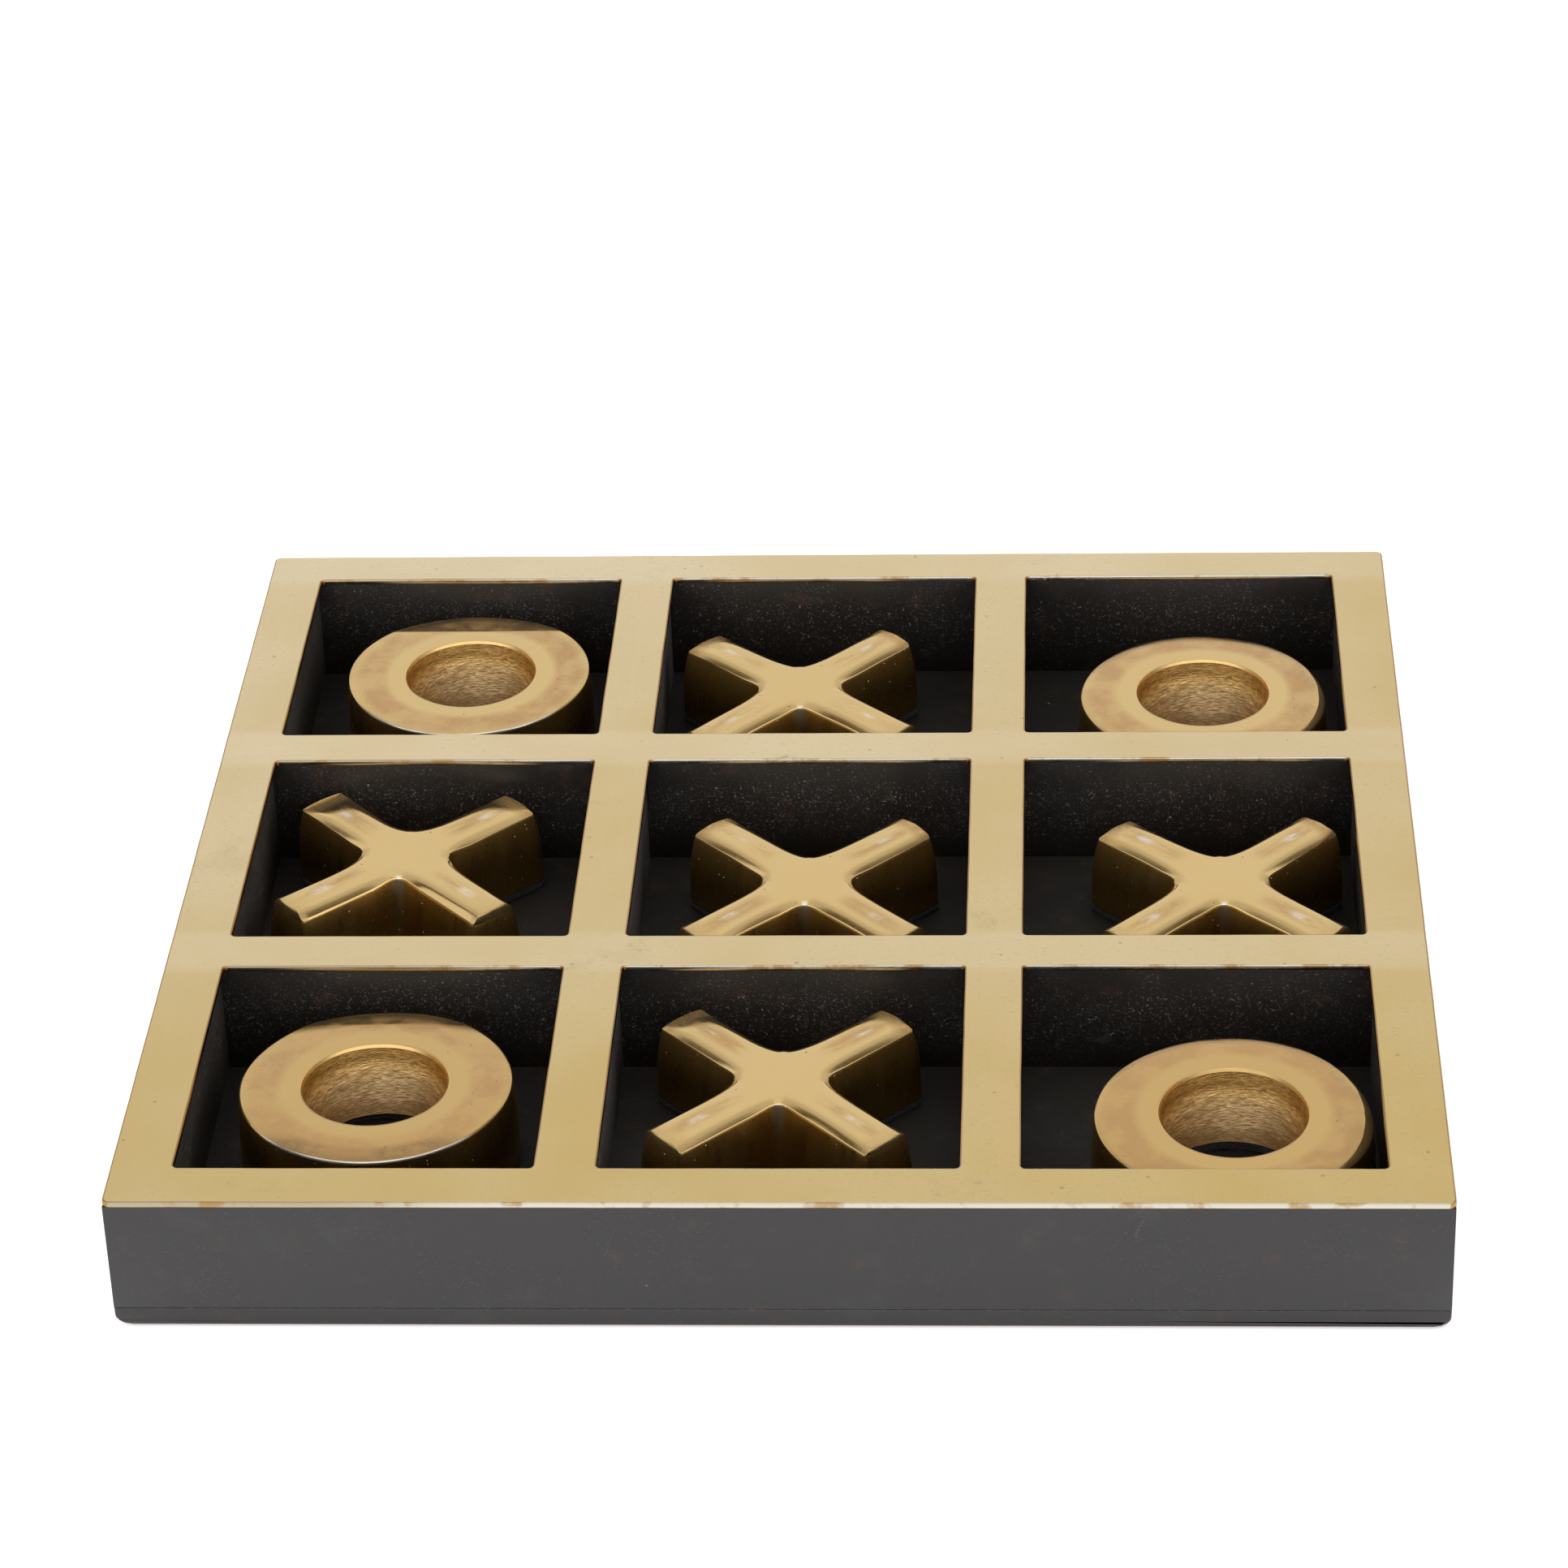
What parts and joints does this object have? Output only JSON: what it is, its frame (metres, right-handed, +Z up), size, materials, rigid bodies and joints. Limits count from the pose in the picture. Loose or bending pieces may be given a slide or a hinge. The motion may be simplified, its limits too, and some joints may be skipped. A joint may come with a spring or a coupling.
{
  "type": "tic-tac-toe board",
  "caption": "Square tic-tac-toe board: a black wooden tray divided into compartments under a sheet-brass grid, with cast brass crosses and rings that lift out.",
  "frame": {"origin": "centre of the underside, on the table", "axes": "+Z up out of the compartments, front of the board towards -Y, rows of compartments along X"},
  "size_m": [0.2, 0.2, 0.0229],
  "materials": {
    "sheet_brass": "hand-polished sheet brass with fine brushed lines and light tarnish",
    "cast_brass": "cast brass, polished and domed on top, darker and rougher on the sides and in the bores",
    "black_wood": "wood painted satin black, dusty and lightly scuffed",
    "black_felt": "black felt with a fuzzy edge",
    "rose_felt": "rose-coloured felt"
  },
  "bodies": {
    "board": {"underside_felt": "rose_felt", "base_panel": "black_wood", "front_wall": "black_wood", "back_wall": "black_wood", "left_wall": "black_wood", "right_wall": "black_wood", "divider_across_front": "black_wood", "divider_across_back": "black_wood", "divider_along_left": "black_wood", "divider_along_right": "black_wood", "brass_grid": "sheet_brass"},
    "cross_1": {"x_piece_1": "cast_brass", "x_felt_1": "black_felt"},
    "cross_2": {"x_piece_2": "cast_brass", "x_felt_2": "black_felt"},
    "cross_3": {"x_piece_3": "cast_brass", "x_felt_3": "black_felt"},
    "cross_4": {"x_piece_4": "cast_brass", "x_felt_4": "black_felt"},
    "cross_5": {"x_piece_5": "cast_brass", "x_felt_5": "black_felt"},
    "ring_1": {"o_piece_1": "cast_brass", "o_felt_1": "black_felt"},
    "ring_2": {"o_piece_2": "cast_brass", "o_felt_2": "black_felt"},
    "ring_3": {"o_piece_3": "cast_brass", "o_felt_3": "black_felt"},
    "ring_4": {"o_piece_4": "cast_brass", "o_felt_4": "black_felt"}
  },
  "joints": [
    {"name": "cross_1_lift", "type": "slide", "parent": "board", "child": "cross_1", "axis": [0, 0, 1], "range_m": [0, 0.04]},
    {"name": "cross_2_lift", "type": "slide", "parent": "board", "child": "cross_2", "axis": [0, 0, 1], "range_m": [0, 0.04]},
    {"name": "cross_3_lift", "type": "slide", "parent": "board", "child": "cross_3", "axis": [0, 0, 1], "range_m": [0, 0.04]},
    {"name": "cross_4_lift", "type": "slide", "parent": "board", "child": "cross_4", "axis": [0, 0, 1], "range_m": [0, 0.04]},
    {"name": "cross_5_lift", "type": "slide", "parent": "board", "child": "cross_5", "axis": [0, 0, 1], "range_m": [0, 0.04]},
    {"name": "ring_1_lift", "type": "slide", "parent": "board", "child": "ring_1", "axis": [0, 0, 1], "range_m": [0, 0.04]},
    {"name": "ring_2_lift", "type": "slide", "parent": "board", "child": "ring_2", "axis": [0, 0, 1], "range_m": [0, 0.04]},
    {"name": "ring_3_lift", "type": "slide", "parent": "board", "child": "ring_3", "axis": [0, 0, 1], "range_m": [0, 0.04]},
    {"name": "ring_4_lift", "type": "slide", "parent": "board", "child": "ring_4", "axis": [0, 0, 1], "range_m": [0, 0.04]}
  ]
}
